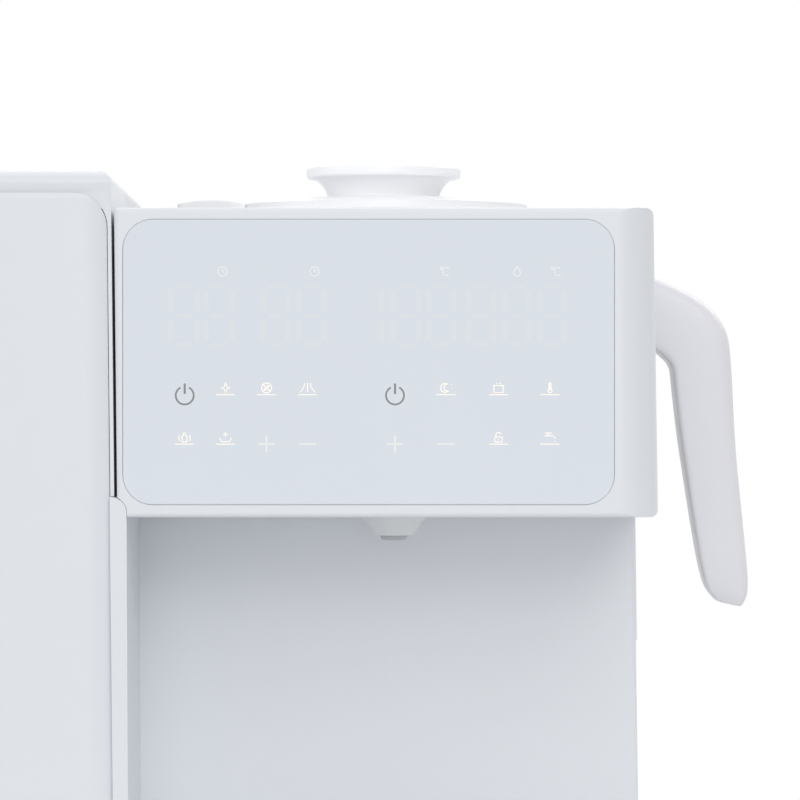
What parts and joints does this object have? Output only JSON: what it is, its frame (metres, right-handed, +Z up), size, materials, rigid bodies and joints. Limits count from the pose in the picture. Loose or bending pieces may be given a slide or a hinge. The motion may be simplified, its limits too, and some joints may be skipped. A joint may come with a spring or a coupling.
{
  "type": "uv baby bottle sterilizer",
  "caption": "Countertop UV bottle steriliser cabinet with a hinged door, joined to a water dispenser with a touch panel, drip tray and lift-off glass kettle.",
  "frame": {"origin": "on the table, under the middle of the bounding box", "axes": "+Z up, the front with the door and the touch panel faces -Y, the water unit stands towards +X"},
  "size_m": [0.51, 0.285, 0.3735],
  "materials": {
    "shell": "satin",
    "white": "satin",
    "steel": "brushed",
    "liner": "satin",
    "touch_glass": "polished",
    "jug_glass": "polished",
    "lamp_glass": "polished",
    "rubber": "matte",
    "silicone": "matte",
    "grey": "satin",
    "dark": "matte",
    "board": "satin",
    "hose": "satin"
  },
  "bodies": {
    "chassis": {"cabinet_case": "shell", "chamber_liner": "liner", "rear_cover": "shell", "rear_screws": "steel", "hinge_pins": "steel", "catch_plates": "steel", "uv_board_top": "board", "uv_window_top": "lamp_glass", "uv_board_rear": "board", "uv_window_rear": "lamp_glass", "lower_rack": "white", "upper_rack": "white", "air_duct": "grey", "air_heater": "liner", "fan_frame": "dark", "fan_motor": "steel", "air_filter": "white", "base_pan": "shell", "feet": "rubber", "bay_deck": "shell", "bay_cheek": "shell", "bay_back": "shell", "column_shell": "shell", "plinth_shell": "shell", "head_shell": "shell", "head_floor": "shell", "control_glass": "touch_glass", "display_board": "board", "nozzle": "grey", "nozzle_tip": "grey", "kettle_seat": "grey", "water_coupler": "steel", "coupler_seal": "rubber", "pump": "dark", "pump_motor": "steel", "suction_hose": "hose", "delivery_hose": "hose", "power_board": "board", "mains_inlet": "dark", "inlet_pins": "steel"},
    "door": {"door_panel": "shell", "door_inner": "white", "door_seal": "silicone", "door_magnets": "steel"},
    "fan": {"fan_impeller": "dark"},
    "filter_cover": {"filter_cover": "shell"},
    "tray": {"drip_tray": "shell"},
    "grille": {"drip_grille": "white"},
    "kettle": {"kettle_base": "shell", "heating_plate": "steel", "kettle_socket": "dark", "kettle_valve": "steel", "glass_jug": "jug_glass", "kettle_collar": "shell", "kettle_handle": "shell"},
    "lid": {"kettle_lid": "white", "lid_knob": "white", "lid_seal": "silicone"}
  },
  "joints": [
    {"name": "door_hinge", "type": "hinge", "parent": "chassis", "child": "door", "pos_m": [-0.24689, -0.1345, 0], "axis": [0, 0, -1], "range_deg": [0, 115]},
    {"name": "fan_spin", "type": "hinge", "parent": "chassis", "child": "fan", "pos_m": [-0.13495, 0, 0.133], "axis": [0, 1, 0], "continuous": true},
    {"name": "filter_cover_pull", "type": "slide", "parent": "chassis", "child": "filter_cover", "axis": [0, 1, 0], "range_m": [0, 0.03]},
    {"name": "tray_slide", "type": "slide", "parent": "chassis", "child": "tray", "axis": [0, -1, 0], "range_m": [0, 0.11]},
    {"name": "grille_lift", "type": "slide", "parent": "tray", "child": "grille", "axis": [0, 0, 1], "range_m": [0, 0.04]},
    {"name": "kettle_lift", "type": "slide", "parent": "chassis", "child": "kettle", "axis": [0, 0, 1], "range_m": [0, 0.2]},
    {"name": "lid_lift", "type": "slide", "parent": "kettle", "child": "lid", "axis": [0, 0, 1], "range_m": [0, 0.06]}
  ]
}
